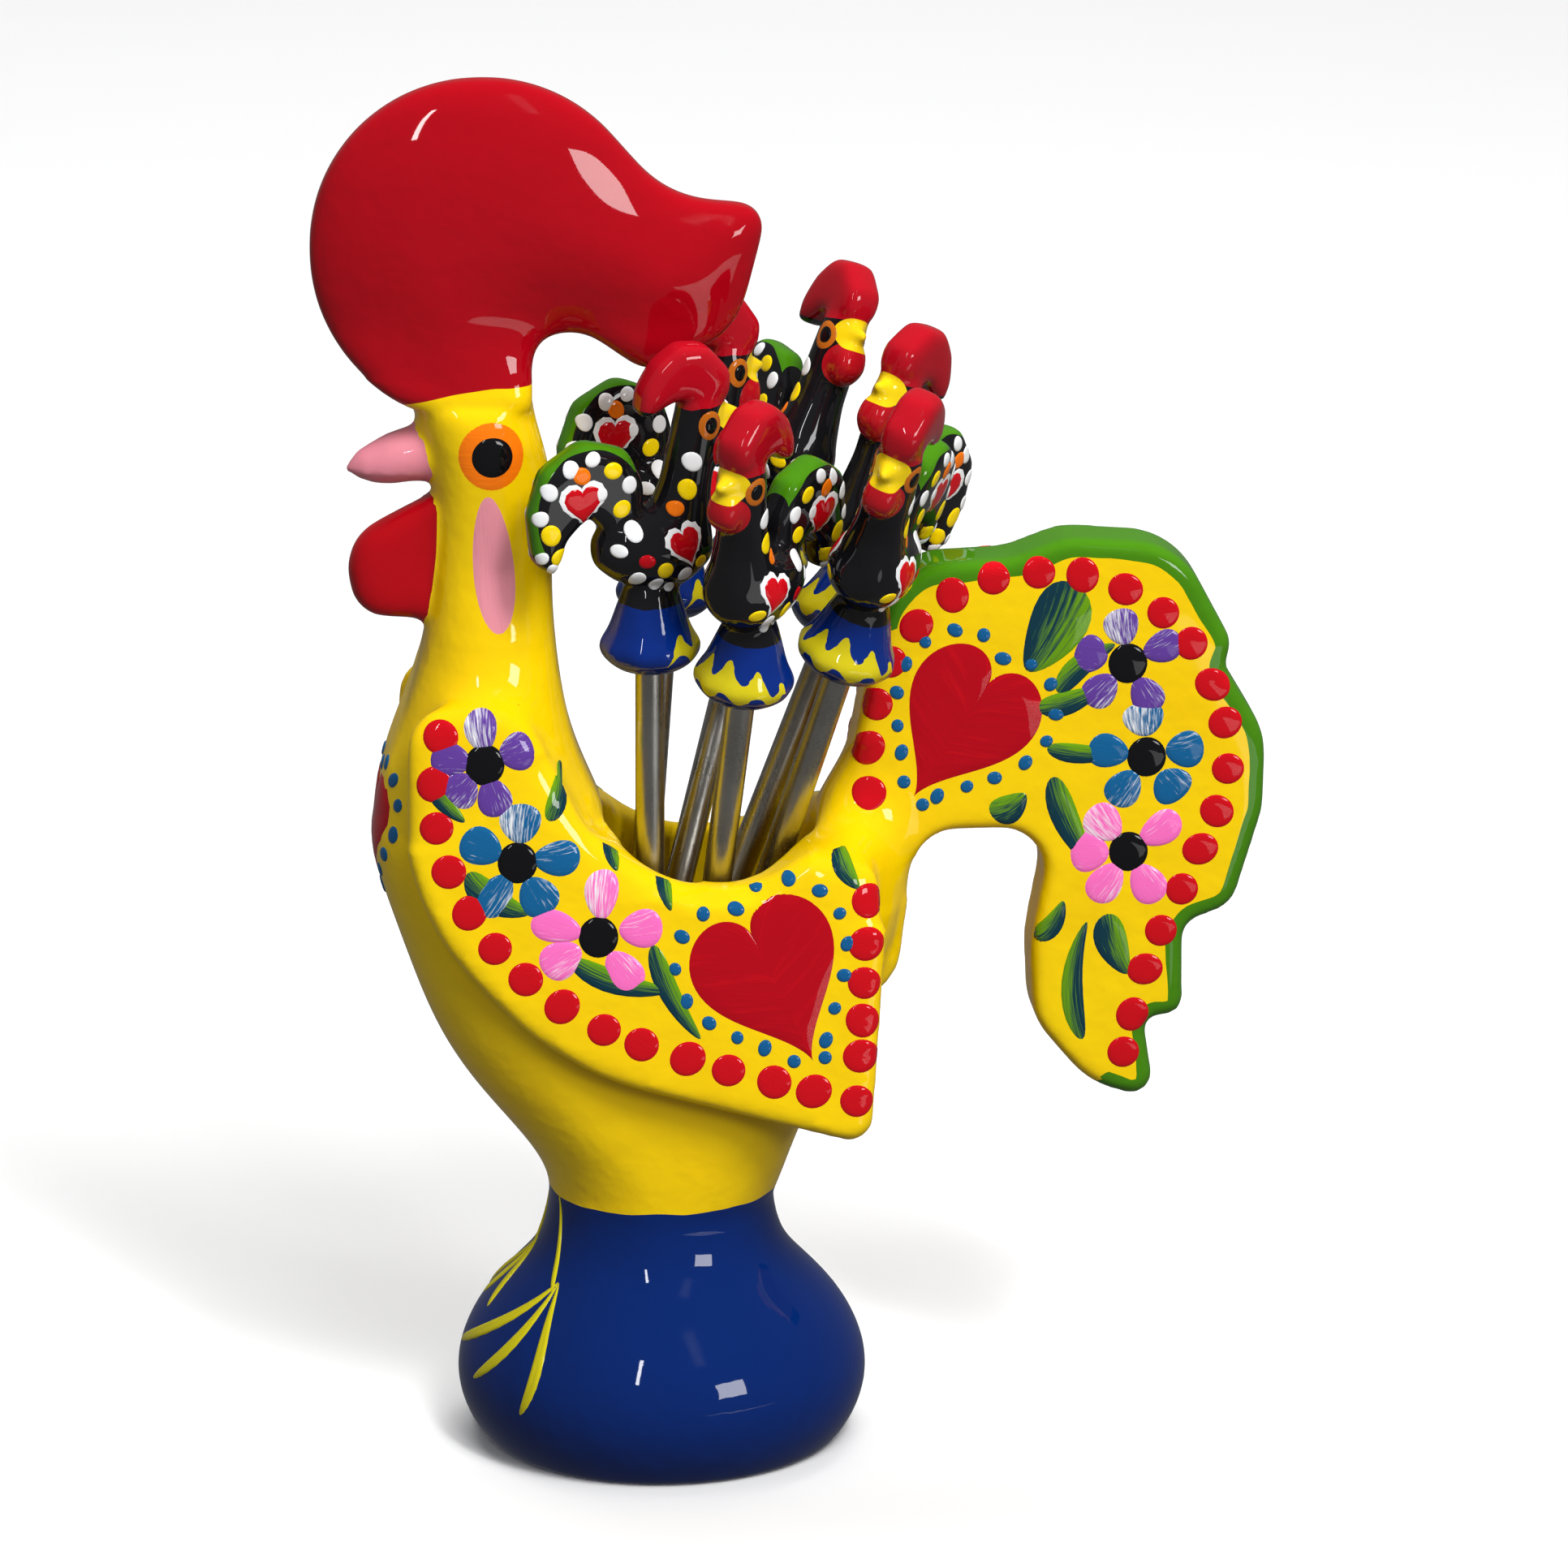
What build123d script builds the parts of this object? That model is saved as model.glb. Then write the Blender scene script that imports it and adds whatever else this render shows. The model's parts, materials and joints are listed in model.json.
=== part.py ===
"""Rooster of Barcelos: a glazed clay holder with an open back, and six snack forks with cast roosters.

Millimetres, +Z up. The origin is the centre of the flat ring that the pedestal stands on.
The big rooster faces -X, and its left wing is on the -Y side.
"""

import math
import os

from build123d import *

os.makedirs("parts", exist_ok=True)

# Clearances and the overrun that serves every cut
overrun = 40.0
seat_gap = 0.3
bore_clearance = 0.05

# Pedestal
pedestal_height = 28.0
pedestal_radius = 22.9
waist_radius = 12.5
waist_flare = 0.4
waist_rise = 1.0
foot_outer_radius = 19.8
foot_inner_radius = 15.2
foot_hollow_depth = 10.5

# Belly and breast, from the waist to the joint with the neck
belly_height = 44.0
breast_reach = 31.4
rump_reach = 26.8
body_half_width = 13.6
rim_dip = 5.2
rim_length = 30.0

# Well in the back
well_radius = 10.0
well_half_width = 10.4
well_front_reach = 13.2
well_rear_reach = 17.6

# Neck and head
neck_height = 46.5
neck_sway = 1.4
shoulder_length = 25.4
shoulder_half_width = 13.2
head_half_width = 6.4
head_length = 13.0

# Comb
comb_length = 49.6
comb_height = 35.7
comb_thickness = 11.0
comb_overhang = 11.0
comb_round = 2.2

# Beak
beak_length = 11.2
beak_root_radius = 3.3
beak_seat = 3.1
beak_drop = 4.8
beak_droop = 14.5

# Wattle
wattle_length = 13.9
wattle_height = 14.3
wattle_thickness = 5.4
wattle_bevel = 1.1
wattle_lead = 7.8
wattle_drop = 23.9

# Wings
wing_length = 53.3
wing_height = 50.0
wing_thickness = 3.2
wing_bevel = 0.9
wing_flare = 5.8
wing_hem_rise = 10.0
wing_front_reach = 28.8
wing_top_half_width = 12.7

# Tail
tail_length = 51.3
tail_height = 65.0
tail_thickness = 9.0
tail_bevel = 0.8
tail_front_reach = 15.6
tail_tip_rise = 9.8

# Snack forks
fork_length = 72.0
stem_radius = 1.6
spigot_length = 5.0
head_width = 4.2
head_thickness = 1.3
head_run = 20.0
shoulder_run = 5.0
tine_run = 14.0
tine_gap = 1.4
tine_tip_width = 0.6
tine_tip_reach = 1.7

# Cast rooster on each fork, from the bottom of its foot
finial_height = 36.4
finial_foot_radius = 5.8
finial_foot_height = 7.8
finial_body_radius = 4.8
finial_body_length = 13.2
finial_body_height = 13.9
finial_neck_radius = 4.0
finial_beak_radius = 1.6
finial_beak_length = 3.3
finial_comb_thickness = 4.4
finial_tail_thickness = 3.8
finial_bevel = 0.7
finial_sides = 10

# Shares used by more than one piece
neck_round_share = 0.95
waist_share = 0.90
nape_base_share = 0.40
nape_lead_share = 0.22
nape_top_share = 0.85
nape_top_lead_share = 0.46
cast_beak_share = 0.77
cast_beak_lead_share = 0.53

# Where each fork leans, in shares of the well's sizes, and the way its rooster faces in degrees
fork_place_shares = [
    (-0.154, -0.387, -0.089, -0.663, 17.1),
    (-0.401, 0.380, -0.045, 0.714, 22.2),
    (0.166, 0.004, 0.330, -0.793, -128.8),
    (0.096, 0.597, 0.705, -0.368, -114.8),
    (-0.757, -0.508, 0.212, 0.587, -64.4),
    (-0.587, -0.044, 0.599, 0.531, 227.3),
]

# Places worked out from the sizes above
well_floor_height = pedestal_height - waist_rise - well_radius
well_centre_height = well_floor_height + well_radius
neck_joint_height = pedestal_height + belly_height
head_joint_height = neck_joint_height + neck_height
shoulder_centre = shoulder_length / 2 - breast_reach
head_centre = shoulder_centre - neck_sway
head_front = head_centre - head_length / 2
rim_front = shoulder_length - breast_reach
rim_low_height = neck_joint_height - rim_dip


def outline_face(plane, shares, length, height):
    """Face inside straight runs joined by arcs: each corner has its place and its radius as shares."""
    corners = [(length * across, height * up) for across, up, _ in shares]
    radii = [length * round_share for _, _, round_share in shares]
    with BuildSketch(plane) as outline:
        with BuildLine():
            FilletPolyline(*corners, radius=radii, close=True)
        make_face()
    return outline.sketch


def between(start, end, share):
    """Size that lies a share of the way from one size to another."""
    return start + (end - start) * share


# Well in the back: a round bottom, then ovals up to the saddle-shaped rim
well_shares = [
    (0.14, 0.79, 0.61, 0.96),
    (0.34, 0.94, 0.78, 0.99),
    (0.55, 1.00, 0.98, 1.00),
    (0.77, 0.80, 1.00, 1.00),
    (0.88, 0.58, 0.97, 1.00),
    (1.00, 0.42, 0.97, 1.00),
]
well_height = neck_joint_height + rim_dip - well_centre_height
with BuildPart() as well_space:
    with BuildSketch(Plane.XY.offset(well_centre_height)):
        Circle(well_radius)
    for height_share, front_share, rear_share, side_share in well_shares:
        front = well_front_reach * front_share
        rear = well_rear_reach * rear_share
        middle = Vector((rear - front) / 2, 0, well_centre_height + well_height * height_share)
        with BuildSketch(Plane(middle)):
            Ellipse((front + rear) / 2, well_half_width * side_share)
    loft()
    with Locations((0, 0, well_centre_height)):
        Sphere(well_radius)

# Pedestal: thrown foot, hollow underneath, with the rounded floor of the well
flare_shares = [(0.96, 0.12), (1.00, 0.27), (0.965, 0.41), (0.87, 0.55), (0.73, 0.68), (0.615, 0.79)]
hollow_shares = [(0.96, 0.45), (0.62, 0.90)]
with BuildPart() as pedestal:
    with BuildSketch(Plane.XZ):
        with BuildLine():
            Line((foot_inner_radius, 0), (foot_outer_radius, 0))
            Spline(
                (foot_outer_radius, 0),
                *[(pedestal_radius * out, pedestal_height * up) for out, up in flare_shares],
                (waist_radius + waist_flare, pedestal_height * waist_share),
                (waist_radius, pedestal_height),
            )
            Polyline((waist_radius, pedestal_height), (0, pedestal_height), (0, foot_hollow_depth))
            Spline(
                (0, foot_hollow_depth),
                *[(foot_inner_radius * out, foot_hollow_depth * up) for out, up in reversed(hollow_shares)],
                (foot_inner_radius, 0),
                tangents=((1, 0), (0, -1)),
            )
        make_face()
    revolve()
    add(well_space.part, mode=Mode.SUBTRACT)
pedestal.part.label = "pedestal"
export_step(pedestal.part, "parts/pedestal.step")

# Belly and breast: height, front, rear, side and roundness of each section
belly_shares = [
    (0.00, 0.00, 0.00, 0.00, 0.98),
    (0.11, 0.07, 0.13, 0.20, 0.96),
    (0.27, 0.35, 0.34, 0.45, 0.93),
    (0.45, 0.63, 0.64, 0.75, 0.90),
    (0.64, 0.81, 0.90, 0.95, 0.88),
    (0.82, 0.95, 1.00, 1.00, 0.88),
    (1.00, 1.00, 0.85, 0.65, 0.88),
]
saddle_shares = [(0.11, 0.52), (0.28, 0.90), (0.42, 1.00), (0.55, 0.87), (0.67, 0.46), (0.82, 0.13)]
with BuildPart() as body_bowl:
    for height_share, front_share, rear_share, side_share, round_share in belly_shares:
        front = between(waist_radius, breast_reach, front_share)
        rear = between(waist_radius, rump_reach, rear_share)
        side = between(waist_radius, body_half_width, side_share)
        middle = Vector((rear - front) / 2, 0, pedestal_height + belly_height * height_share)
        with BuildSketch(Plane(middle)):
            RectangleRounded(front + rear, 2 * side, side * round_share)
    loft()
    with BuildSketch(Plane.XZ):
        with BuildLine():
            Spline(
                (rim_front, neck_joint_height),
                *[(rim_front + rim_length * x, neck_joint_height - rim_dip * z) for x, z in saddle_shares],
                (rim_front + rim_length, neck_joint_height),
            )
            Polyline(
                (rim_front + rim_length, neck_joint_height),
                (rim_front + rim_length, neck_joint_height + overrun),
                (rim_front, neck_joint_height + overrun),
                (rim_front, neck_joint_height),
            )
        make_face()
    extrude(amount=overrun, both=True, mode=Mode.SUBTRACT)
    add(well_space.part, mode=Mode.SUBTRACT)
body_bowl.part.label = "body_bowl"
export_step(body_bowl.part, "parts/body_bowl.step")

# Neck and head: height, sway, slimming of the length and of the width of each section
neck_shares = [
    (0.00, 0.00, 0.00, 0.00),
    (0.13, 0.50, 0.26, 0.10),
    (0.27, 0.43, 0.60, 0.34),
    (0.43, -0.04, 0.88, 0.63),
    (0.60, -0.36, 1.00, 0.88),
    (0.75, -0.50, 1.01, 0.97),
    (0.88, 0.07, 1.00, 0.97),
    (1.00, 1.00, 1.00, 1.00),
]
with BuildPart() as neck_head:
    for height_share, sway_share, length_share, width_share in neck_shares:
        length = between(shoulder_length, head_length, length_share)
        side = between(shoulder_half_width, head_half_width, width_share)
        centre = shoulder_centre - neck_sway * sway_share
        with BuildSketch(Plane((centre, 0, neck_joint_height + neck_height * height_share))):
            RectangleRounded(length, 2 * side, neck_round_share * min(side, length / 2))
    loft()
    add(well_space.part, mode=Mode.SUBTRACT)
neck_head.part.label = "neck_head"
export_step(neck_head.part, "parts/neck_head.step")

# Comb: a thick pillow-edged slab, cut flat where it sits on the head
comb_shares = [
    (0.000, -0.042, 0.367), (0.000, 1.000, 0.367), (0.550, 1.000, 0.367), (0.786, 0.619, 0.242),
    (1.004, 0.599, 0.048), (0.931, 0.210, 0.161), (0.730, 0.092, 0.046), (0.597, 0.221, 0.091),
    (0.480, 0.221, 0.069), (0.480, -0.042, 0.020),
]
with BuildPart() as comb:
    comb_corner = Plane.XZ.shift_origin((head_front - comb_overhang, 0, head_joint_height))
    extrude(outline_face(comb_corner, comb_shares, comb_length, comb_height), comb_thickness / 2, both=True)
    fillet(comb.faces().filter_by(Axis.Y).edges(), comb_round)
    split(bisect_by=Plane.XY.offset(head_joint_height))
comb.part.label = "comb"
export_step(comb.part, "parts/comb.step")

# Beak: a drooping horn whose root follows the curve of the head
beak_shares = [(0.00, 1.00), (0.50, 0.90), (0.80, 0.62), (0.96, 0.24)]
beak_angle = math.radians(beak_droop)
beak_axis = Vector(-math.cos(beak_angle), 0, -math.sin(beak_angle))
beak_root = Vector(head_front + beak_seat, 0, head_joint_height - beak_drop)
with BuildPart() as beak:
    for along_share, radius_share in beak_shares:
        with BuildSketch(Plane(beak_root + beak_axis * (beak_length * along_share), z_dir=beak_axis)):
            Circle(beak_root_radius * radius_share)
    loft(ruled=True)
    add(neck_head.part, mode=Mode.SUBTRACT)
beak.part.label = "beak"
export_step(beak.part, "parts/beak.step")

# Wattle: a rounded lobe under the beak
wattle_shares = [
    (1.000, 1.000, 0.144), (0.604, 0.937, 0.576), (0.000, 0.629, 0.396), (0.058, 0.000, 0.302),
    (1.000, 0.000, 0.144),
]
with BuildPart() as wattle:
    wattle_corner = Plane.XZ.shift_origin((head_front - wattle_lead, 0, head_joint_height - wattle_drop))
    wattle_face = outline_face(wattle_corner, wattle_shares, wattle_length, wattle_height)
    extrude(wattle_face, wattle_thickness / 2, both=True)
    chamfer(wattle.faces().filter_by(Axis.Y).edges(), wattle_bevel)
    add(neck_head.part, mode=Mode.SUBTRACT)
wattle.part.label = "wattle"
export_step(wattle.part, "parts/wattle.step")

# Wings: slabs that lie on the sides of the body at the rim and flare off the belly below
wing_shares = [
    (0.000, 0.550, 0.525), (0.315, 0.182, 0.675), (0.953, -0.004, 0.049), (1.000, 0.660, 0.066),
    (0.822, 0.644, 0.113), (0.719, 0.560, 0.094), (0.587, 0.560, 0.113), (0.418, 0.660, 0.188),
    (0.250, 0.996, 0.131), (0.000, 1.012, 0.094),
]
flare_angle = math.radians(wing_flare)
hem_half_width = wing_top_half_width + wing_height * math.tan(flare_angle)
with BuildPart() as wing_left:
    wing_face = Plane(
        origin=(-wing_front_reach, -hem_half_width, pedestal_height + wing_hem_rise),
        x_dir=(1, 0, 0),
        z_dir=(0, -math.cos(flare_angle), math.sin(flare_angle)),
    )
    extrude(outline_face(wing_face, wing_shares, wing_length, wing_height), -wing_thickness)
    chamfer(wing_left.faces().sort_by(Axis.Y)[0].edges(), wing_bevel)
    add(body_bowl.part, mode=Mode.SUBTRACT)
    add(neck_head.part, mode=Mode.SUBTRACT)
wing_left.part.label = "wing_left"
export_step(wing_left.part, "parts/wing_left.step")

with BuildPart() as wing_right:
    mirror(wing_left.part, about=Plane.XZ)
wing_right.part.label = "wing_right"
export_step(wing_right.part, "parts/wing_right.step")

# Tail: a hooked slab with a scalloped outer edge, its root let into the rump
tail_shares = [
    (0.078, 0.311, 0.039), (0.000, 0.503, 0.039), (0.109, 0.642, 0.195), (0.183, 0.957, 0.156),
    (0.444, 0.965, 0.117), (0.563, 1.000, 0.156), (0.807, 0.985, 0.175), (0.924, 0.812, 0.031),
    (0.908, 0.772, 0.031), (1.000, 0.649, 0.175), (0.996, 0.518, 0.175), (0.932, 0.349, 0.068),
    (0.825, 0.318, 0.047), (0.827, 0.157, 0.035), (0.741, 0.152, 0.029), (0.772, 0.000, 0.043),
    (0.622, 0.037, 0.195), (0.499, 0.154, 0.156), (0.493, 0.288, 0.312), (0.542, 0.494, 0.097),
    (0.248, 0.494, 0.097), (0.209, 0.257, 0.058), (0.152, 0.185, 0.033),
]
with BuildPart() as tail:
    tail_corner = Plane.XZ.shift_origin((tail_front_reach, 0, pedestal_height + tail_tip_rise))
    extrude(outline_face(tail_corner, tail_shares, tail_length, tail_height), tail_thickness / 2, both=True)
    chamfer(tail.faces().filter_by(Axis.Y).edges(), tail_bevel)
    add(body_bowl.part, mode=Mode.SUBTRACT)
    add(well_space.part, mode=Mode.SUBTRACT)
tail.part.label = "tail"
export_step(tail.part, "parts/tail.step")

# One snack fork: a round stem with a spigot at its top and a flattened head with two tines
neck_end = fork_length - head_run
slot_end = fork_length - tine_run
with BuildPart() as snack_fork:
    with BuildSketch(Plane.XY.offset(-neck_end)):
        Circle(stem_radius)
    extrude(amount=neck_end + spigot_length)
    with BuildSketch(Plane.XY.offset(-neck_end)):
        Circle(stem_radius)
    with BuildSketch(Plane.XY.offset(-neck_end - shoulder_run)):
        Circle(head_thickness / 2)
    loft()
    with BuildSketch(Plane.XZ):
        with BuildLine():
            Polyline(
                (0, -neck_end),
                (stem_radius, -neck_end),
                (head_width / 2, -neck_end - shoulder_run),
                (head_width / 2, -slot_end - tine_gap),
                (tine_tip_reach, -fork_length),
                (tine_tip_reach - tine_tip_width, -fork_length),
                (tine_gap / 2, -slot_end),
                (0, -slot_end),
                close=True,
            )
        make_face()
        mirror(about=Plane.YZ)
    extrude(amount=head_thickness / 2, both=True)

# One cast rooster: facets narrow away from the widest ring of its foot, its body and its neck
foot_top_shares = [(0.34, 1.00), (0.56, 0.80), (1.20, 0.50)]
foot_base_shares = [(-0.34, 1.00), (-0.18, 0.93), (0.00, 0.60)]
body_front_shares = [(0.03, 1.00), (0.28, 0.95), (0.50, 0.50)]
body_rear_shares = [(-0.03, 1.00), (0.31, 0.78), (0.49, 0.36)]
nape_shares = [(0.00, 1.00), (0.36, 0.72), (0.88, 0.66), (1.00, 0.50)]
cast_beak_shares = [(0.00, 1.00), (1.00, 0.35)]
cast_comb_shares = [
    (-0.135, 0.79), (-0.105, 0.865), (0.02, 0.94), (0.22, 0.995), (0.46, 0.99), (0.68, 0.90), (0.65, 0.82),
    (0.19, 0.83), (-0.05, 0.785),
]
cast_tail_shares = [
    (-0.075, 0.575), (-0.22, 0.69), (-0.60, 0.73), (-0.96, 0.65), (-1.075, 0.51), (-1.03, 0.37),
    (-0.86, 0.325), (-0.75, 0.435), (-0.56, 0.50), (-0.40, 0.44), (-0.35, 0.36), (-0.15, 0.35),
]
cast_wattle_shares = [(0.56, 0.745), (0.72, 0.73), (0.74, 0.66), (0.61, 0.61), (0.49, 0.66)]


def narrowing(start, end, length, radius, shares):
    """Faceted solid that narrows from start towards end, its rings in shares of a length and a radius."""
    side_radius = radius * math.cos(math.pi / finial_sides)
    with BuildPart() as form:
        for (near_share, wide_share), (far_share, narrow_share) in zip(shares, shares[1:]):
            run = length * (far_share - near_share)
            shrink = side_radius * (wide_share - narrow_share)
            with BuildSketch(Plane.XY.offset(length * near_share)):
                RegularPolygon(radius * wide_share, finial_sides)
            extrude(amount=run, taper=math.degrees(math.atan2(shrink, run)))
    return form.part.moved(Plane(start, x_dir=(0, 1, 0), z_dir=end - start).location)


def cast_slab(shares, thickness):
    """Solid slab of the small rooster, from a closed outline in shares of its body length and height."""
    with BuildPart() as slab:
        with BuildSketch(Plane.XZ):
            with BuildLine():
                Polyline(*[(finial_body_length * x, finial_height * z) for x, z in shares], close=True)
            make_face()
        extrude(amount=thickness / 2, both=True)
        chamfer(slab.faces().filter_by(Axis.Y).edges(), finial_bevel)
    return slab.part


foot = Vector(0, 0, 0)
chest = Vector(0, 0, finial_body_height)
nape_base = Vector(finial_body_length * nape_lead_share, 0, finial_height * nape_base_share)
nape_top = Vector(finial_body_length * nape_top_lead_share, 0, finial_height * nape_top_share)
beak_base = Vector(finial_body_length * cast_beak_lead_share, 0, finial_height * cast_beak_share)
forward = Vector(1, 0, 0)
upward = Vector(0, 0, 1)
with BuildPart() as cast_rooster:
    add(narrowing(foot, foot + upward, finial_foot_height, finial_foot_radius, foot_top_shares))
    add(narrowing(foot, foot - upward, finial_foot_height, finial_foot_radius, foot_base_shares))
    add(narrowing(chest, chest + forward, finial_body_length, finial_body_radius, body_front_shares))
    add(narrowing(chest, chest - forward, finial_body_length, finial_body_radius, body_rear_shares))
    add(narrowing(nape_base, nape_top, (nape_top - nape_base).length, finial_neck_radius, nape_shares))
    add(narrowing(beak_base, beak_base + forward, finial_beak_length, finial_beak_radius, cast_beak_shares))
    add(cast_slab(cast_tail_shares, finial_tail_thickness))
    add(cast_slab(cast_comb_shares, finial_comb_thickness))
    add(cast_slab(cast_wattle_shares, finial_tail_thickness))
    with BuildSketch(Plane.XY):
        Circle(stem_radius + bore_clearance)
    extrude(amount=spigot_length, mode=Mode.SUBTRACT)


def seated_plane(foot_x, foot_y, mouth_x, mouth_y, facing):
    """Plane of a fork's shoulder: origin under its rooster, z up the stem, x the way the rooster faces."""
    lower = Vector(foot_x, foot_y, well_centre_height)
    up_stem = (Vector(mouth_x, mouth_y, rim_low_height) - lower).normalized()
    ahead = Vector(math.cos(math.radians(facing)), math.sin(math.radians(facing)), 0)
    ahead = (ahead - up_stem * ahead.dot(up_stem)).normalized()
    aside = up_stem.cross(ahead)
    slides = []
    for across in (tine_tip_reach, -tine_tip_reach):
        for through in (head_thickness / 2, -head_thickness / 2):
            corner = ahead * across + aside * through + Vector(foot_x, foot_y, 0)
            along = corner.dot(up_stem)
            room = (well_radius - seat_gap) ** 2 - corner.dot(corner) + along**2
            slides.append(-along - math.sqrt(room))
    return Plane(origin=lower + up_stem * (max(slides) + fork_length), x_dir=ahead, z_dir=up_stem)


for number, place in enumerate(fork_place_shares, start=1):
    foot_x_share, foot_y_share, mouth_x_share, mouth_y_share, facing = place
    seat = seated_plane(
        well_radius * foot_x_share,
        well_radius * foot_y_share,
        well_rear_reach * mouth_x_share,
        well_half_width * mouth_y_share,
        facing,
    )
    with BuildPart() as fork:
        add(snack_fork.part.moved(seat.location))
    fork.part.label = f"fork_{number}"
    export_step(fork.part, f"parts/fork_{number}.step")
    with BuildPart() as finial:
        add(cast_rooster.part.moved(seat.location))
    finial.part.label = f"finial_{number}"
    export_step(finial.part, f"parts/finial_{number}.step")
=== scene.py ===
import json
import math
from bisect import bisect_left

import bmesh
import bpy
from mathutils import Matrix, Vector
from mathutils.bvhtree import BVHTree
from mathutils.geometry import interpolate_bezier
from mathutils.interpolate import poly_3d_calc
from mathutils.kdtree import KDTree


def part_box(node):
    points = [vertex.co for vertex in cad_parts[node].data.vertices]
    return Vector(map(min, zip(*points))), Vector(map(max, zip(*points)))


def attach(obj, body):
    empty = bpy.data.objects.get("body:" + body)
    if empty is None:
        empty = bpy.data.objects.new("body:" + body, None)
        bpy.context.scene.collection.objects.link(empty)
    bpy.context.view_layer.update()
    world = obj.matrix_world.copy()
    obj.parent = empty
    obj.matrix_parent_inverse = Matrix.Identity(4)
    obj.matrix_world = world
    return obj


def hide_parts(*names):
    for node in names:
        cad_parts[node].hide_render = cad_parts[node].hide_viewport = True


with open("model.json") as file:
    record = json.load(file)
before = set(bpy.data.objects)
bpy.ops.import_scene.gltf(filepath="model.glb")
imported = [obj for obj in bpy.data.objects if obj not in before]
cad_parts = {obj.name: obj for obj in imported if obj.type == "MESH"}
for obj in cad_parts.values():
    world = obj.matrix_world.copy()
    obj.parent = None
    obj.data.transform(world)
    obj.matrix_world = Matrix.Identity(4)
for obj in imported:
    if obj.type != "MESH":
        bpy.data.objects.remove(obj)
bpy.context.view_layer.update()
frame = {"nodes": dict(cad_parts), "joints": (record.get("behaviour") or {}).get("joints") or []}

MM = 0.001
CLAY_NODES = (
    "pedestal", "body_bowl", "neck_head", "comb", "beak", "wattle", "wing_left", "wing_right", "tail",
)
FORK_COUNT = 6

MERGE_REACH = 0.001 * MM

# Clay skin
CLAY_SQUARE = 0.5 * MM
CLAY_SMOOTHING = 7
REGION_SQUARE = 0.8 * MM
SLAB_MARGIN = 0.9 * MM
LOBE_MARGIN = 0.5 * MM
SURFACE_REACH = 0.03 * MM

# Domed comb: its box in millimetres, run of the dome, share lost at the rim, and blend at the brow
COMB_BOX = ((-45, -20, 120), (40, 20, 170))
COMB_RUN = 14.0 * MM
COMB_DROP = 0.6
BROW_BLEND = 8.0 * MM

# Joins between clay pieces that are wiped smoother: box in millimetres on one side, and rounds
WIPED_JOINS = {
    "comb": ((-45, 0, 122), (40, 20, 170), 30),
    "wing at the breast": ((-31, 5, 72), (-8, 22, 93), 60),
    "wing at the rim": ((-18, 7.5, 66), (4, 22, 82), 60),
    "wing and tail": ((16, 0, 62), (28, 20, 80), 140),
    "wattle": ((-40, 0, 90), (-25.5, 6, 111), 30),
}

# Where the colours of the glaze meet
WAIST_LINE = 29.1 * MM
BROW_LINE = 121.2 * MM
BROW_BACK = 15.0 * MM
BROW_CURVE = 11.0
CRIMSON_FLOOR = 110.0 * MM
CREST_BAND = 1.5 * MM
CREST_STEP = 0.4 * MM

# Cast roosters
CAST_SQUARE = 0.32 * MM
CAST_SMOOTHING = 26
CAST_SWELL = 0.1 * MM
STEM_SEAT = 5.0 * MM
ROD_SIDES = 40

# Enamel dabs
DAB_SIDES = 26
FACE_SIDES = 40
HEART_SIDES = 90
CAST_DAB_SIDES = 20
DAB_RINGS = (0.07, 0.16, 0.25, 0.27)
DAB_HEIGHT = 0.22 * MM
LOW_HEIGHT = 0.16 * MM
THIN_HEIGHT = 0.1 * MM
DAB_SINK = 0.03 * MM
DRAW_BACK_STEPS = 40
HOLDER_RAY = 0.1
CAST_RAY = 0.03
HEART_DOT_GAP = 1.35 * MM
HEART_DOT_BREAK = 0.55
HEART_LINE_STEPS = 180

# Colours of the glazes and enamels, linear
YELLOW = (0.95, 0.68, 0.002)
DEEP_YELLOW = (0.87, 0.53, 0.0015)
CRIMSON = (0.35, 0.0006, 0.006)
BRIGHT_RED = (0.47, 0.002, 0.007)
HEART_RED = (0.43, 0.001, 0.008)
DOT_RED = (0.56, 0.003, 0.009)
PINK = (0.83, 0.30, 0.36)
PETAL_PINK = (0.93, 0.16, 0.52)
PURPLE = (0.115, 0.045, 0.30)
PETAL_BLUE = (0.006, 0.11, 0.28)
DOT_BLUE = (0.006, 0.10, 0.27)
LEAF_GREEN = (0.13, 0.31, 0.006)
LEAF_DARK = (0.004, 0.035, 0.055)
CREST_GREEN = (0.055, 0.21, 0.004)
PEDESTAL_BLUE = (0.0008, 0.017, 0.130)
ORANGE = (0.92, 0.19, 0.004)
BLACK = (0.004, 0.004, 0.005)
WHITE = (0.86, 0.87, 0.88)
STRAW = (0.60, 0.53, 0.008)
PALE_ORANGE = (0.90, 0.27, 0.01)
BROWN_ORANGE = (0.50, 0.13, 0.01)
DEEP_PINK = (0.72, 0.20, 0.27)


def read_back(shape, name):
    """Object with the mesh of a bmesh, which is freed."""
    mesh = bpy.data.meshes.new(name)
    shape.to_mesh(mesh)
    shape.free()
    piece = bpy.data.objects.new(name, mesh)
    bpy.context.scene.collection.objects.link(piece)
    return piece


def modified(piece):
    """bmesh of a piece with its modifiers applied. The piece is removed."""
    bpy.context.view_layer.update()
    seen = piece.evaluated_get(bpy.context.evaluated_depsgraph_get())
    shape = bmesh.new()
    shape.from_mesh(seen.to_mesh())
    seen.to_mesh_clear()
    mesh = piece.data
    bpy.data.objects.remove(piece)
    bpy.data.meshes.remove(mesh)
    return shape


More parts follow.
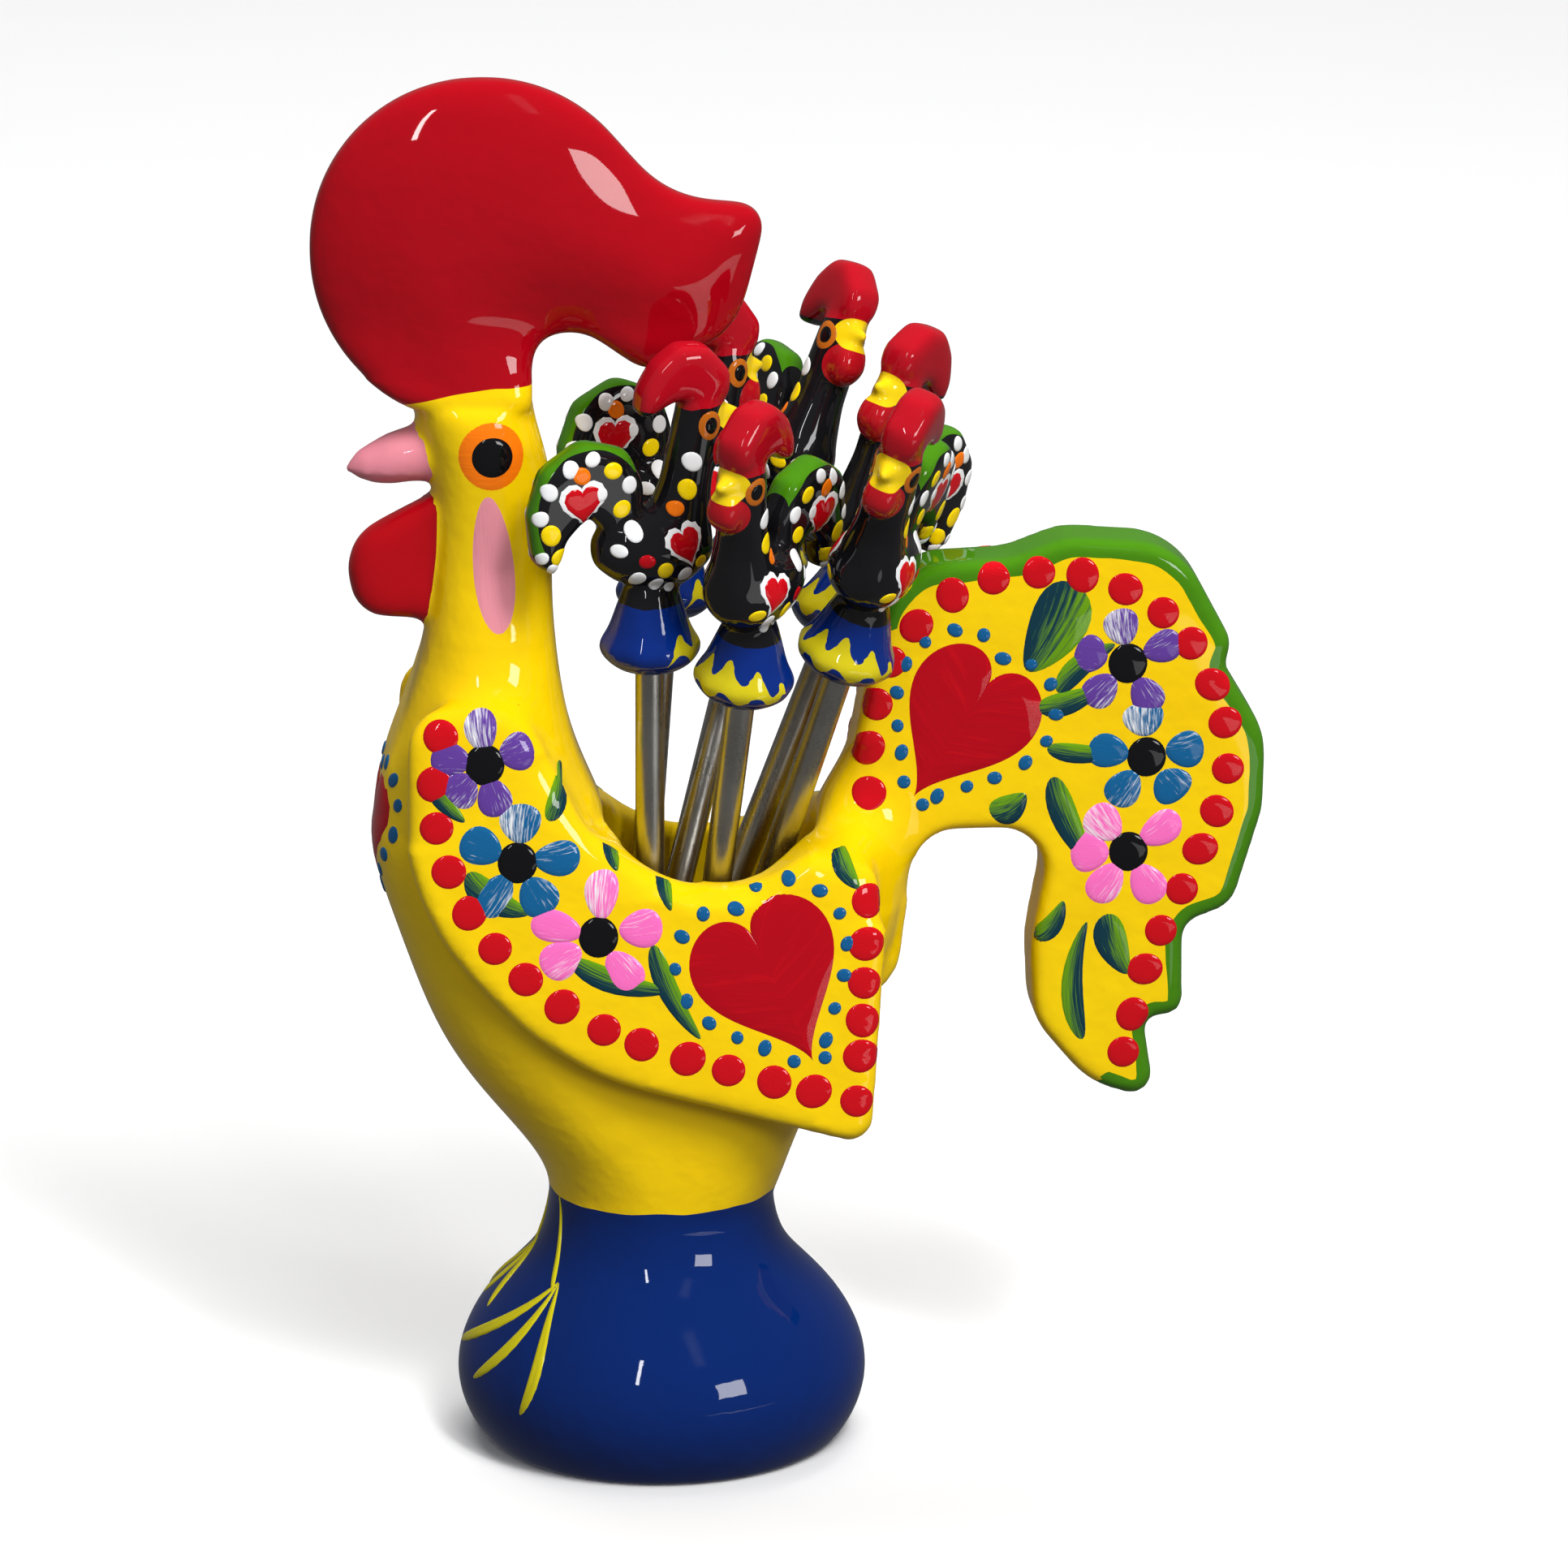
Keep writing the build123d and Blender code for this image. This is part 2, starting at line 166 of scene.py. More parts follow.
def node_copy(*names):
    """bmesh with the merged meshes of CAD nodes."""
    whole = bmesh.new()
    for name in names:
        single = bmesh.new()
        single.from_mesh(frame["nodes"][name].data)
        bmesh.ops.remove_doubles(single, verts=single.verts, dist=MERGE_REACH)
        mesh = bpy.data.meshes.new("merged")
        single.to_mesh(mesh)
        single.free()
        whole.from_mesh(mesh)
        bpy.data.meshes.remove(mesh)
    return whole


def remeshed(shape, square):
    """The outer skin of a bmesh, rebuilt from even squares."""
    blank = read_back(shape, "blank")
    skin = blank.modifiers.new("skin", "REMESH")
    skin.mode = "VOXEL"
    skin.voxel_size = square
    return modified(blank)


def smoothed(shape, rounds, verts=None):
    """Evens out a bmesh, or only some of its vertices."""
    chosen = shape.verts if verts is None else verts
    for _ in range(rounds):
        bmesh.ops.smooth_vert(
            shape, verts=chosen, factor=0.5, use_axis_x=True, use_axis_y=True, use_axis_z=True
        )
    return shape


def within(place, low, high):
    """Whether a place lies inside a box given in millimetres."""
    return all(start * MM < reach < end * MM for start, reach, end in zip(low, place, high))


def wipe(shape, low, high, rounds):
    """Smooths the surface further inside a box and inside its mirror image."""
    inside = [vert for vert in shape.verts if within((vert.co.x, abs(vert.co.y), vert.co.z), low, high)]
    smoothed(shape, rounds, inside)


def dome_comb(shape):
    """Domes both faces of the comb: it thins towards its rim, and less so near the brow."""
    shape.normal_update()
    low, high = COMB_BOX
    inside = [vert for vert in shape.verts if within(vert.co, low, high)]
    rim = [vert for vert in inside if abs(vert.normal.y) < 0.25]
    tree = KDTree(len(rim))
    for i, vert in enumerate(rim):
        tree.insert((vert.co.x, 0, vert.co.z), i)
    tree.balance()
    for vert in inside:
        from_rim = tree.find((vert.co.x, 0, vert.co.z))[2] / COMB_RUN
        blend = min((vert.co.z - low[2] * MM) / BROW_BLEND, 1.0)
        vert.co.y *= 1 - COMB_DROP * blend * max(1 - from_rim, 0.0) ** 2


def swelled(shape, reach):
    """Every vertex pushed out along its normal."""
    shape.normal_update()
    for vert, normal in [(vert, vert.normal.copy()) for vert in shape.verts]:
        vert.co += normal * reach
    return shape


def cut(shape, tool, operation):
    """New bmesh from a boolean of two closed ones. Both stay."""
    body = read_back(shape.copy(), "cut_body")
    knife = read_back(tool.copy(), "cut_tool")
    knife.hide_render = True
    boolean = body.modifiers.new("cut", "BOOLEAN")
    boolean.operation = operation
    boolean.object = knife
    boolean.solver = "MANIFOLD"
    result = modified(body)
    mesh = knife.data
    bpy.data.objects.remove(knife)
    bpy.data.meshes.remove(mesh)
    return result


def slab_between(low, high):
    """Closed box across the whole object between two heights."""
    box = bmesh.new()
    reach = 0.4
    bmesh.ops.create_cube(box, size=1.0)
    bmesh.ops.scale(box, vec=(reach, reach, high - low), verts=box.verts)
    bmesh.ops.translate(box, vec=(0, 0, (low + high) / 2), verts=box.verts)
    return box


class Skin:
    """A smooth closed surface that pieces are cut from and paint is laid on."""

    def __init__(self, shape):
        shape.normal_update()
        shape.faces.ensure_lookup_table()
        self.shape = shape
        self.tree = BVHTree.FromBMesh(shape)

    def normal_near(self, place):
        """(distance to the surface, its smooth normal there)."""
        spot, _, index, distance = self.tree.find_nearest(place)
        corners = self.shape.faces[index].verts
        weights = poly_3d_calc([corner.co for corner in corners], spot)
        normal = Vector((0, 0, 0))
        for corner, weight in zip(corners, weights):
            normal += corner.normal * weight
        return distance, normal.normalized()

    def dress(self, shape, name):
        """Piece whose outer faces are shaded as one with this surface."""
        piece = read_back(shape, name)
        mesh = piece.data
        mesh.shade_smooth()
        normals = [None] * len(mesh.loops)
        near = [self.normal_near(vert.co) for vert in mesh.vertices]
        for face in mesh.polygons:
            on_skin = all(near[v][0] < SURFACE_REACH for v in face.vertices)
            on_skin = on_skin and near[face.vertices[0]][1].dot(face.normal) > 0.3
            for loop, v in zip(face.loop_indices, face.vertices):
                normals[loop] = near[v][1] if on_skin else face.normal
        mesh.normals_split_custom_set(normals)
        return piece


def finish_piece(piece, material, body, nodes=()):
    """Gives a piece its material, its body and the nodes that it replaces."""
    piece.data.materials.clear()
    piece.data.materials.append(material)
    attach(piece, body)
    if nodes:
        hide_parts(*nodes)
    return piece


# Finishes


class Wire:
    """A value in a material's nodes. Operators add Math nodes."""

    def __init__(self, finish, socket):
        self.finish = finish
        self.socket = socket

    def _math(self, operation, first, second):
        return self.finish.node("Math", {"operation": operation}, {0: first, 1: second})

    def __add__(self, other):
        return self._math("ADD", self, other)

    def __radd__(self, other):
        return self._math("ADD", other, self)

    def __sub__(self, other):
        return self._math("SUBTRACT", self, other)

    def __rsub__(self, other):
        return self._math("SUBTRACT", other, self)

    def __mul__(self, other):
        return self._math("MULTIPLY", self, other)

    def __rmul__(self, other):
        return self._math("MULTIPLY", other, self)

    def __truediv__(self, other):
        return self._math("DIVIDE", self, other)

    def __rtruediv__(self, other):
        return self._math("DIVIDE", other, self)

    def above(self, limit):
        return self._math("GREATER_THAN", self, limit)

    def below(self, limit):
        return self._math("LESS_THAN", self, limit)


class Finish:
    """A material under construction."""

    def __init__(self, name, roughness, coat=0.0, metallic=0.0):
        self.material = bpy.data.materials.new(name)
        self.material.use_nodes = True
        self.nodes = self.material.node_tree.nodes
        self.links = self.material.node_tree.links
        self.shader = next(node for node in self.nodes if node.type == "BSDF_PRINCIPLED")
        self.shader.inputs["Roughness"].default_value = roughness
        self.shader.inputs["Coat Weight"].default_value = coat
        self.shader.inputs["Specular IOR Level"].default_value = 0.0 if coat else 0.5
        self.shader.inputs["Coat Roughness"].default_value = 0.03
        self.shader.inputs["Metallic"].default_value = metallic

    def node(self, kind, settings=None, inputs=None, output=0):
        made = self.nodes.new("ShaderNode" + kind)
        for key, value in (settings or {}).items():
            if key == "stops":
                self.set_stops(made.color_ramp, value)
            else:
                setattr(made, key, value)
        for key, value in (inputs or {}).items():
            if isinstance(value, Wire):
                self.links.new(value.socket, made.inputs[key])
            else:
                made.inputs[key].default_value = value
        return Wire(self, made.outputs[output])

    @staticmethod
    def set_stops(ramp, stops):
        while len(ramp.elements) < len(stops):
            ramp.elements.new(1.0)
        for element, (position, colour) in zip(ramp.elements, stops):
            element.position = position
            element.color = (*colour, 1.0)

    def place(self):
        return self.node("TexCoord", output="Object")

    def axis(self, vector, name):
        return self.node("SeparateXYZ", inputs={0: vector}, output=name)

    def stored(self, name, output="Fac"):
        return self.node("Attribute", {"attribute_name": name}, output=output)

    def noise(self, vector, scale, detail=3.0, roughness=0.5):
        return self.node(
            "TexNoise", inputs={"Vector": vector, "Scale": scale, "Detail": detail, "Roughness": roughness}
        )

    def mix(self, share, first, second):
        """Colour between two colours."""
        made = self.nodes.new("ShaderNodeMix")
        made.data_type = "RGBA"
        for socket, value in ((made.inputs[0], share), (made.inputs[6], first), (made.inputs[7], second)):
            if isinstance(value, Wire):
                self.links.new(value.socket, socket)
            elif isinstance(value, tuple):
                socket.default_value = (*value, 1.0)
            else:
                socket.default_value = value
        return Wire(self, made.outputs[2])

    def colour(self, value):
        self.links.new(value.socket, self.shader.inputs["Base Color"])

    def rough(self, value):
        self.links.new(value.socket, self.shader.inputs["Roughness"])

    def bump(self, height, strength, distance):
        bumped = self.node("Bump", inputs={"Strength": strength, "Distance": distance, "Height": height})
        self.links.new(bumped.socket, self.shader.inputs["Normal"])


def clay_finish(name):
    """Hand-brushed glaze: yellow, blue below the waist, crimson above the brow and green on the crest."""
    glaze = Finish(name, roughness=0.2, coat=0.7)
    place = glaze.place()
    across = glaze.axis(place, "X")
    height = glaze.axis(place, "Z")
    cloud = glaze.noise(place, 55.0, 4.0)
    grain = glaze.noise(place, 900.0, 2.0)
    yellow = glaze.mix(cloud, DEEP_YELLOW, YELLOW)
    waver = glaze.noise(place, 160.0, 1.0) - 0.5
    waist_line = WAIST_LINE + 1.0 * MM * waver
    painted = glaze.mix(height.below(waist_line), yellow, PEDESTAL_BLUE)
    from_brow = across + BROW_BACK
    brow_line = BROW_LINE - from_brow * from_brow * BROW_CURVE + 0.7 * MM * waver
    crimson = glaze.mix(cloud, CRIMSON, (0.37, 0.002, 0.008))
    painted = glaze.mix(height.above(brow_line) * height.above(CRIMSON_FLOOR), painted, crimson)
    crest = glaze.stored("crest")
    painted = glaze.mix((crest + waver * 0.9).above(0.5), painted, CREST_GREEN)
    glaze.colour(painted)
    glaze.rough(0.14 + grain * 0.12)
    ripple = glaze.noise(place, 130.0, 3.0) + glaze.noise(place, 420.0, 2.0) * 0.18 + grain * 0.05
    glaze.bump(ripple, 0.34, 0.0012)
    return glaze.material


def horn_finish(name, colour, darker):
    """Glaze of the beak or the wattle."""
    glaze = Finish(name, roughness=0.2, coat=0.7)
    place = glaze.place()
    glaze.colour(glaze.mix(glaze.noise(place, 90.0, 3.0), darker, colour))
    glaze.bump(glaze.noise(place, 140.0, 3.0), 0.2, 0.0012)
    return glaze.material


def enamel_finish(name):
    """Brushed dabs: each carries its own two colours, and the bristles' streaks run along it."""
    enamel = Finish(name, roughness=0.25, coat=0.7)
    along = enamel.stored("brush", "Vector")
    stretch = enamel.node("Mapping", inputs={"Vector": along, "Scale": (0.55, 5.5, 1.0)})
    streak = enamel.noise(stretch, 1.7, 3.0, 0.6)
    share = enamel.node(
        "ValToRGB",
        {"stops": [(0.40, (0.0, 0.0, 0.0)), (0.66, (1.0, 1.0, 1.0))]},
        {"Fac": streak + (enamel.stored("load") - 0.5)},
    )
    enamel.colour(enamel.mix(share, enamel.stored("tint", "Color"), enamel.stored("streak_tint", "Color")))
    enamel.rough(0.18 + streak * 0.15)
    enamel.bump(streak, 0.12, 0.0006)
    return enamel.material


def steel_finish(name):
    """Polished rod with faint draw marks and a few smears."""
    steel = Finish(name, roughness=0.2, metallic=1.0)
    place = steel.place()
    drawn = steel.node("Mapping", inputs={"Vector": place, "Scale": (2600.0, 2600.0, 60.0)})
    marks = steel.noise(drawn, 1.0, 3.0)
    smear = steel.noise(place, 130.0, 4.0, 0.6)
    steel.colour(steel.mix(smear, (0.30, 0.28, 0.25), (0.55, 0.54, 0.51)))
    steel.rough(0.16 + marks * 0.10 + smear * 0.16)
    steel.bump(marks, 0.05, 0.0003)
    return steel.material


def cast_finish(name):
    """Black rooster with its comb, wattle, beak, crest and foot picked out, in millimetres of its own."""
    enamel = Finish(name, roughness=0.2, coat=0.8)
    spot = enamel.stored("cast_place", "Vector")
    ahead = enamel.axis(spot, "X")
    aside = enamel.axis(spot, "Y")
    up = enamel.axis(spot, "Z")
    waver = enamel.noise(spot, 0.45, 2.0) - 0.5
    colour = enamel.mix(enamel.noise(spot, 0.3, 3.0), BLACK, (0.010, 0.010, 0.012))
    foot = up.below(7.6 + waver * 0.5)
    colour = enamel.mix(foot, colour, (0.002, 0.022, 0.19))
    turn = enamel.node("Math", {"operation": "ARCTAN2"}, {0: aside, 1: ahead})
    wave = enamel.node("Math", {"operation": "SINE"}, {0: turn * 9.0 + waver * 2.5})
    crown = (5.0 + wave * 1.0 - turn * turn * 1.0 - up).above(0.0) * (2.0 + wave * 0.6 + waver).below(up)
    star = crown * foot * ahead.above(0.0)
    colour = enamel.mix(star, colour, (0.62, 0.52, 0.01))
    comb_line = 29.2 + waver * 0.8 + (ahead - 4.0) * (ahead - 4.0) * 0.012
    comb = up.above(comb_line) * ahead.above(-3.4)
    colour = enamel.mix(comb, colour, (0.40, 0.004, 0.012))

    def patch(middle, height, run_squared, rise_squared):
        """Under 1 inside an oval on the flank."""
        run = ahead - middle
        rise = up - height
        return run * run / run_squared + rise * rise / rise_squared

    wattle = patch(8.9, 24.3, 6.2, 6.6).below(1.0)
    colour = enamel.mix(wattle, colour, (0.42, 0.006, 0.012))
    beak = patch(9.6, 28.1, 7.0, 3.6).below(1.0)
    colour = enamel.mix(beak, colour, (0.82, 0.58, 0.006))
    crest = patch(-7.3, 18.5, 38.5, 54.0).above(1.0) * ahead.below(-2.2) * up.above(14.5)
    colour = enamel.mix(crest, colour, CREST_GREEN)
    enamel.colour(colour)
    enamel.bump(enamel.noise(spot, 0.5, 3.0), 0.12, 0.0006)
    return enamel.material


# Paint


class Paint:
    """Enamel dabs laid on a skin. Each is a thin dome that follows the surface below it."""

    def __init__(self, skin, segments=DAB_SIDES):
        self.skin = skin
        self.whole = bmesh.new()
        disc = bmesh.new()
        bmesh.ops.create_circle(disc, cap_ends=True, segments=segments, radius=1.0)
        for ring in DAB_RINGS:
            centre = [face for face in disc.faces if len(face.verts) == segments]
            bmesh.ops.inset_region(
                disc, faces=centre, thickness=ring, use_boundary=True, use_even_offset=True
            )
        centre = [face for face in disc.faces if len(face.verts) == segments]
        bmesh.ops.poke(disc, faces=centre)
        self.disc = bpy.data.meshes.new("disc")
        disc.to_mesh(self.disc)
        disc.free()
        self.count = 0

    def lay(self, outline, aim, tint, streak_tint=None, load=0.0, thickness=DAB_HEIGHT, slant=0.0):
        """outline(share, angle) gives a flat place, and aim(place) the ray that drops it on the skin."""
        single = bmesh.new()
        single.from_mesh(self.disc)
        self.count += 1
        tint_layer = single.verts.layers.float_color.new("tint")
        streak_layer = single.verts.layers.float_color.new("streak_tint")
        brush_layer = single.verts.layers.float_vector.new("brush")
        load_layer = single.verts.layers.float.new("load")
        missed = []
        middle_start, heading = aim(outline(0.0, 0.0))
        middle = self.skin.tree.ray_cast(middle_start, heading)[0]
        for vert in single.verts:
            share = min(math.hypot(vert.co.x, vert.co.y), 1.0)
            angle = math.atan2(vert.co.y, vert.co.x)
            landed = self.land(outline, aim, share, angle, middle_start, middle)
            if landed is None:
                missed.append(vert)
                continue
            spot, normal = landed
            dome = thickness * math.sqrt(max(1 - share**4, 0.0)) - DAB_SINK
            vert.co = spot + normal * dome
            vert[tint_layer] = (*tint, 1.0)
            vert[streak_layer] = (*(streak_tint or tint), 1.0)
            brush = (share * math.cos(angle), share * math.sin(angle), 0)
            vert[brush_layer] = Vector(brush) + Vector((self.count * 3.7, self.count * 1.3, 0))
            vert[load_layer] = load + slant * share * math.sin(angle)
        bmesh.ops.delete(single, geom=missed, context="VERTS")
        mesh = bpy.data.meshes.new("dab")
        single.to_mesh(mesh)
        single.free()
        self.whole.from_mesh(mesh)
        bpy.data.meshes.remove(mesh)

    def land(self, outline, aim, share, angle, middle_start, middle):
        """(place, normal) on the skin. A place past a fold is drawn back towards the middle of the dab."""
        for step in range(DRAW_BACK_STEPS):
            start, heading = aim(outline(share * (1 - step / DRAW_BACK_STEPS), angle))
            spot = self.skin.tree.ray_cast(start, heading)[0]
            if spot is None or middle is None:
                continue
            normal = self.skin.normal_near(spot)[1]
            flat = (start - middle_start).length
            if normal.dot(heading) < -0.3 and (spot - middle).length < 2.0 * flat + 0.15 * MM:
                return spot, normal
        return None

    def piece(self, name, placement=None):
        shape = self.whole.copy()
        if placement is not None:
            bmesh.ops.transform(shape, matrix=placement, verts=shape.verts)
        piece = read_back(shape, name)
        piece.data.shade_smooth()
        return piece


def side_aim(side):
    """Aims at the flank on that side: -1 is the left one, towards the camera."""
    return lambda place: (Vector((place[0], side * HOLDER_RAY, place[1])), Vector((0, -side, 0)))


def front_aim(place):
    """Aims at the breast."""
    return Vector((-HOLDER_RAY, place[0], place[1])), Vector((1, 0, 0))


def pedestal_aim(place):
    """Aims at the pedestal. place is the way round from the front in radians, and the height."""
    out = Vector((-math.cos(place[0]), -math.sin(place[0]), 0))
    return out * HOLDER_RAY + Vector((0, 0, place[1])), -out


def oval(centre, length, width, turn=0.0, taper=0.0, bend=0.0):
    """Outline of a dab in millimetres: taper narrows its far end and bend curves it."""
    cosine, sine = math.cos(turn), math.sin(turn)

    def outline(share, angle):
        along = share * math.cos(angle)
        across = share * math.sin(angle) * (1 - taper * along) * width / 2
        across += bend * length * (along * along - 0.3)
        along *= length / 2
        x = centre[0] + along * cosine - across * sine
        z = centre[1] + along * sine + across * cosine
        return x * MM, z * MM

    return outline


def heart(centre, width, height, turn=0.0, notch=0.15):
    """Outline of a heart with its tip down, then turned. The notch is a share of its height."""
    cosine, sine = math.cos(turn), math.sin(turn)

    def outline(share, angle):
        t = math.pi / 2 - angle
        across = share * width / 2 * math.sin(t) ** 3
        lift = 13 * math.cos(t) - 26 * notch * math.cos(2 * t) - 10 * notch * math.cos(3 * t)
        lift = share * height / 2 * (lift - 4.7 * notch * math.cos(4 * t) + 2.5) / 13.5
        x = centre[0] + across * cosine - lift * sine
        z = centre[1] + across * sine + lift * cosine
        return x * MM, z * MM

    return outline


def evenly(dense, count):
    """Places at even steps along a line of close points."""
    lengths = [0.0]
    for one, other in zip(dense, dense[1:]):
        lengths.append(lengths[-1] + math.dist(one, other))
    places = []
    for i in range(count):
        want = lengths[-1] * i / (count - 1)
        places.append(dense[min(bisect_left(lengths, want), len(dense) - 1)])
    return places


def spaced(points, count):
    """Places at even steps along a smooth guide line through points."""
    dense = []
    guide = [Vector(point).to_3d() for point in points]
    for i in range(len(guide) - 1):
        before = guide[max(i - 1, 0)]
        after = guide[min(i + 2, len(guide) - 1)]
        lead = (guide[i + 1] - before) / 6
        trail = (after - guide[i]) / 6
        dense += interpolate_bezier(guide[i], guide[i] + lead, guide[i + 1] - trail, guide[i + 1], 24)[:-1]
    dense.append(guide[-1])
    return evenly([(spot.x, spot.y) for spot in dense], count)


def petals(paint, aim, centre, reach, colour, streak, turns, length, width):
    """Flower: petals round a black heart. One petal had the most white on the brush."""
    for i, turn in enumerate(turns):
        way = math.radians(turn)
        middle = (centre[0] + reach * math.cos(way), centre[1] + reach * math.sin(way))
        load = 0.46 if i == 1 else 0.31 + 0.06 * math.sin(i * 2.4)
        size = 1 + 0.1 * math.sin(i * 1.9 + centre[0])
        bend = 0.04 * math.cos(i * 2.7)
        shape = oval(middle, length * size, width * (2 - size), way, taper=-0.22, bend=bend)
        paint.lay(shape, aim, colour, streak, load, slant=0.1)
    paint.lay(oval(centre, 4.4, 4.6), aim, BLACK, thickness=0.3 * MM)


def heart_dots(paint, aim, centre, width, height, turn, count, radius):
    """Blue dots round a heart, straight across above its notch."""
    rim = heart(centre, width, height, turn)
    line = []
    for i in range(HEART_LINE_STEPS + 1):
        angle = math.pi / 2 + HEART_DOT_BREAK + (2 * math.pi - 2 * HEART_DOT_BREAK) * i / HEART_LINE_STEPS
        before, after = Vector(rim(1.0, angle - 0.02)), Vector(rim(1.0, angle + 0.02))
        heading = (after - before).normalized()
        line.append(tuple((before + after) / 2 + Vector((heading.y, -heading.x)) * HEART_DOT_GAP))
    line.append(line[0])
    for i, (x, z) in enumerate(evenly(line, count + 1)[1:]):
        shape = oval((x / MM, z / MM), 2 * radius, (2.2 + 0.4 * math.sin(i * 2.3)) * radius, i)
        paint.lay(shape, aim, DOT_BLUE, LEAF_DARK, 0.3)


# Places of the flanks' paint in millimetres: ahead to behind, and height
WING_EDGE = [
    (-24.6, 84.4), (-25.4, 79.0), (-24.3, 70.5), (-18.4, 60.3), (-8.4, 52.4), (5.6, 47.2), (20.3, 43.2),
]
WING_REAR = [(21.8, 65.2), (21.3, 57.5), (20.8, 48.2)]
TAIL_EDGE = [
    (22.8, 74.7), (22.9, 81.5), (26.0, 91.0), (34.0, 97.9), (46.2, 98.8), (56.2, 93.4), (61.5, 84.0),
    (62.4, 75.2), (58.4, 64.5), (53.9, 54.5), (51.3, 44.0),
]

# Hearts of the wing and the tail: centre, width, height and turn in degrees
FLANK_HEARTS = (((11.6, 56.2), 16.6, 18.8, 25), ((32.6, 81.6), 15.4, 18.2, -33))

# Flowers: centre, reach of the petals, colour, turns of the petals in degrees, their length and width
FLOWERS = (
    ((-19.9, 81.3), 3.7, PURPLE, (20, 95, 170, 225, 285), 4.3, 3.9),
    ((-16.5, 70.5), 4.3, PETAL_BLUE, (5, 85, 155, 235, 300), 4.9, 4.2),
    ((-7.8, 62.1), 4.7, PETAL_PINK, (10, 85, 165, 210, 305), 5.4, 3.9),
    ((51.3, 88.7), 4.2, PURPLE, (25, 100, 165, 225, 300), 4.2, 4.0),
    ((53.5, 78.0), 4.3, PETAL_BLUE, (10, 95, 170, 235, 310), 4.4, 4.2),
    ((51.6, 67.2), 4.3, PETAL_PINK, (35, 130, 180, 235, 300), 4.8, 4.2),
)

# Leaves: centre, length, width, turn in degrees and bend
LEAVES = (
    ((-12.0, 77.6), 5.8, 2.2, 76, 0.06), ((-24.2, 77.2), 6.0, 2.0, -50, 0.05),
    ((-19.0, 66.6), 8.4, 3.2, -33, 0.10), ((-6.1, 71.2), 4.2, 1.8, -82, 0.05),
    ((-5.6, 57.2), 12.0, 2.6, -18, 0.08), ((0.2, 55.6), 12.0, 2.3, -64, 0.06),
    ((-0.4, 67.2), 5.0, 1.7, -82, 0.05), ((4.2, 67.4), 3.4, 1.8, 85, 0.05),
    ((17.0, 71.0), 4.4, 2.4, -50, 0.10), ((19.4, 68.6), 5.0, 2.2, -62, 0.08),
    ((43.1, 92.8), 11.4, 6.4, 243, -0.05), ((46.4, 88.6), 8.5, 2.6, 40, -0.08),
    ((45.0, 84.6), 7.6, 2.7, 18, 0.06), ((46.6, 78.6), 8.6, 2.2, -4, 0.05),
    ((45.0, 70.6), 11.6, 3.0, -66, 0.05), ((38.4, 72.6), 4.6, 3.4, 30, 0.10),
    ((43.2, 59.2), 5.6, 2.3, 55, 0.10), ((45.9, 52.4), 14.0, 2.4, 88, -0.10),
    ((50.1, 56.4), 7.6, 3.6, -70, 0.06),
)

# Feet: hip, knee and heel, then the middle and end of each toe, as the way round in degrees and the height
NEAR_FOOT = (
    (22.5, 29.5), (28.0, 23.6), (38.0, 19.4),
    (((22.0, 15.4), (-5.5, 10.2)), ((33.5, 14.4), (18.2, 8.7)), ((46.0, 13.6), (42.4, 7.1))),
)
FAR_FOOT = (
    (18.0, 29.5), (10.0, 25.0), (1.5, 21.6),
    (((-3.0, 19.0), (-7.0, 15.4)), ((5.0, 18.4), (12.0, 15.0)), ((18.0, 17.0), (34.0, 12.0))),
)

# Dots of a cast rooster in its own millimetres: ahead, up, size and colour
CAST_DOTS = (
    (-9.8, 24.0, 1.2, WHITE), (-12.2, 21.7, 1.2, WHITE), (-7.3, 24.9, 1.1, WHITE), (-5.0, 23.4, 1.3, YELLOW),
    (-3.1, 21.6, 1.2, WHITE), (-13.2, 18.8, 1.1, WHITE), (-12.1, 16.9, 1.5, YELLOW),
    (-10.9, 14.2, 1.4, YELLOW), (-13.0, 14.3, 0.9, WHITE), (-11.7, 12.9, 0.9, WHITE),
    (-8.6, 23.2, 1.3, ORANGE), (-4.0, 19.0, 1.3, YELLOW), (-3.0, 16.6, 1.3, WHITE), (-4.7, 14.6, 1.0, WHITE),
    (-1.9, 13.4, 1.1, BRIGHT_RED), (0.2, 12.2, 1.2, YELLOW), (-2.6, 11.2, 1.2, WHITE),
    (2.6, 11.4, 1.1, WHITE), (-0.4, 10.4, 1.0, WHITE), (4.5, 12.6, 1.0, YELLOW), (-0.6, 19.2, 1.1, WHITE),
    (3.3, 20.6, 1.4, YELLOW), (3.9, 23.6, 1.4, WHITE), (1.9, 18.6, 1.1, ORANGE), (1.2, 9.8, 0.8, WHITE),
    (-6.4, 20.9, 1.0, WHITE),
)
CAST_HEARTS = (((-8.4, 19.8), 4.6, 4.6, 0.1), ((2.6, 14.6), 3.8, 4.2, 0.3))
CAST_HEART_EDGE = 1.1


def red_dots(paint, aim, places, width, sway):
    """A row of red dots, some a little longer than others."""
    for i, place in enumerate(places):
        paint.lay(oval(place, 3.9 + 0.3 * math.sin(i * sway), width, i), aim, DOT_RED)


